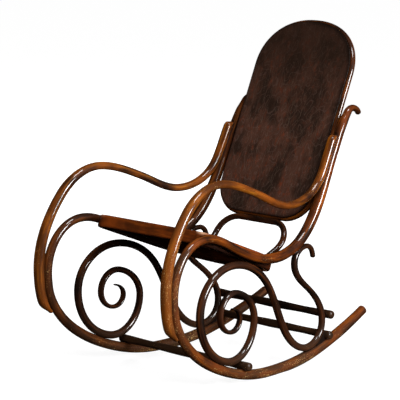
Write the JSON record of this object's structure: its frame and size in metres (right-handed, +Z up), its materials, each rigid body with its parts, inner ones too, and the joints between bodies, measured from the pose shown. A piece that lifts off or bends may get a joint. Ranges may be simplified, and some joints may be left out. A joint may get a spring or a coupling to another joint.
{
  "type": "bentwood rocking chair",
  "caption": "Rocking chair of bent wooden rods with scrolled sides, turned cross rails, a sloping horseshoe seat and a tall arched back with pressed panels.",
  "frame": {"origin": "middle of the underside of the overall box: on the floor, midway between the sides and midway between the front of the arms and the hooks of the uprights", "axes": "+Z up, the chair faces -Y, +X towards the sitter's left"},
  "size_m": [0.5764, 1.0002, 1.047],
  "materials": {
    "bow_beech": "steam-bent beech, glossy warm chestnut varnish",
    "arm_beech": "steam-bent beech, glossy orange-brown varnish worn by hands",
    "scroll_beech": "steam-bent beech, dark umber varnish",
    "rail_beech": "turned and bent beech, near-black espresso varnish",
    "seat_beech": "bent beech frame, chestnut varnish",
    "pressed_ply": "pressed plywood panel, dark espresso satin with faint reddish mottling",
    "screw_steel": "aged steel"
  },
  "bodies": {
    "root": {"left_bow": "bow_beech", "right_bow": "bow_beech", "left_arm": "arm_beech", "right_arm": "arm_beech", "left_scroll": "scroll_beech", "right_scroll": "scroll_beech", "left_rail_wedge": "scroll_beech", "right_rail_wedge": "scroll_beech", "front_rail": "rail_beech", "rear_upper_rail": "rail_beech", "rear_lower_rail": "rail_beech", "lower_hoop": "rail_beech", "seat_ring": "seat_beech", "seat_panel": "pressed_ply", "back_ring": "bow_beech", "back_panel": "pressed_ply", "left_arm_upper_screw": "screw_steel", "right_arm_upper_screw": "screw_steel", "left_arm_lower_screw": "screw_steel", "right_arm_lower_screw": "screw_steel", "left_scroll_hook_screw": "screw_steel", "right_scroll_hook_screw": "screw_steel", "left_ring_foot_screw": "screw_steel", "right_ring_foot_screw": "screw_steel", "left_scroll_foot_screw": "screw_steel", "right_scroll_foot_screw": "screw_steel", "left_front_rail_screw": "screw_steel", "right_front_rail_screw": "screw_steel", "left_rear_lower_rail_screw": "screw_steel", "right_rear_lower_rail_screw": "screw_steel", "left_rear_upper_rail_screw": "screw_steel", "right_rear_upper_rail_screw": "screw_steel", "left_seat_screw_1": "screw_steel", "right_seat_screw_1": "screw_steel", "left_seat_screw_2": "screw_steel", "right_seat_screw_2": "screw_steel", "left_ring_screw_1": "screw_steel", "right_ring_screw_1": "screw_steel", "left_ring_screw_2": "screw_steel", "right_ring_screw_2": "screw_steel", "left_hoop_screw": "screw_steel", "right_hoop_screw": "screw_steel"}
  },
  "joints": []
}
